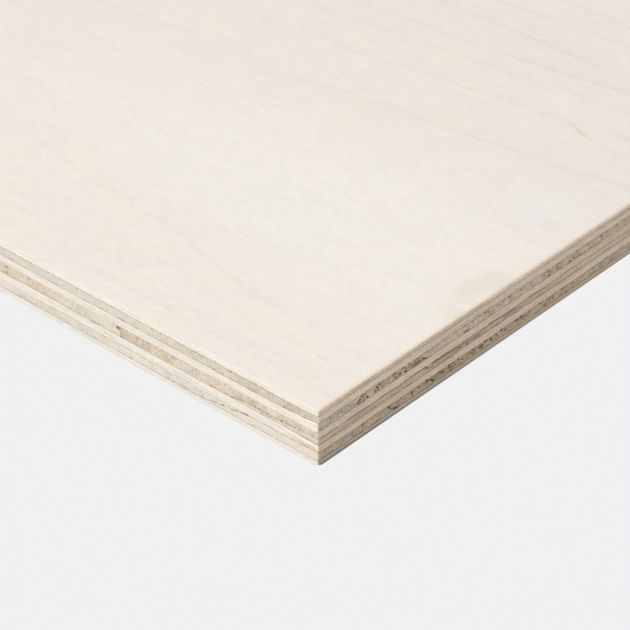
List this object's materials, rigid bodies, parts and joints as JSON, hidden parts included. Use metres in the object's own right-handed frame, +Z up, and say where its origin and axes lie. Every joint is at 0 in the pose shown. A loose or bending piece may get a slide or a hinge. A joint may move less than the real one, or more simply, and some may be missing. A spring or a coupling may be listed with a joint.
{
  "type": "plywood sheet",
  "caption": "Full-size plywood sheet of crossed, glued veneers with a pale sanded face, square sawn edges that show the lay-up, and lightly eased arrises.",
  "frame": {"origin": "middle of the underside, on the floor that the sheet lies on", "axes": "+X along the grain of the face veneer (the long side), +Y across it along the short side, +Z up out of the face"},
  "size_m": [2.44, 1.22, 0.012],
  "materials": {
    "face_veneer": "matte",
    "crossband_veneer": "matte",
    "long_band_veneer": "matte",
    "core_veneer": "matte",
    "back_veneer": "matte"
  },
  "bodies": {
    "root": {"face_veneer": "face_veneer", "crossband_upper": "crossband_veneer", "long_band_upper": "long_band_veneer", "core_veneer": "core_veneer", "core_edge_strip": "core_veneer", "core_lap_strip": "core_veneer", "long_band_lower": "long_band_veneer", "crossband_lower": "crossband_veneer", "crossband_lower_strip": "crossband_veneer", "back_veneer": "back_veneer"}
  },
  "joints": []
}
